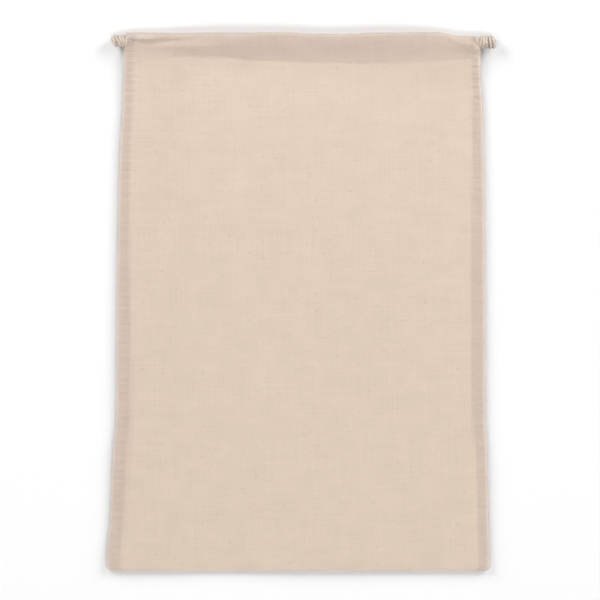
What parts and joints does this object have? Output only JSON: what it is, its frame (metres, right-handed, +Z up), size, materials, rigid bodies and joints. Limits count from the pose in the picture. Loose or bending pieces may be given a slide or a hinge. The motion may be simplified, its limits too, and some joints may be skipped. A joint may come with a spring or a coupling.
{
  "type": "drawstring bag",
  "caption": "Flat natural cotton drawstring bag lying on its back, folded at the bottom and sewn up both sides, with cords through front and back casings knotted at each end of the mouth.",
  "frame": {"origin": "on the surface the bag lies on, under the middle of its box", "axes": "+Y from the bottom fold to the mouth, +X to the right seen from the front, +Z up out of the front"},
  "size_m": [0.324, 0.45, 0.0167],
  "materials": {
    "cotton_cloth": "unbleached plain weave with slubs",
    "cotton_cord": "twisted cotton cord"
  },
  "bodies": {
    "root": {"bag_cloth": "cotton_cloth", "drawstring_left": "cotton_cord", "drawstring_right": "cotton_cord"}
  },
  "joints": []
}
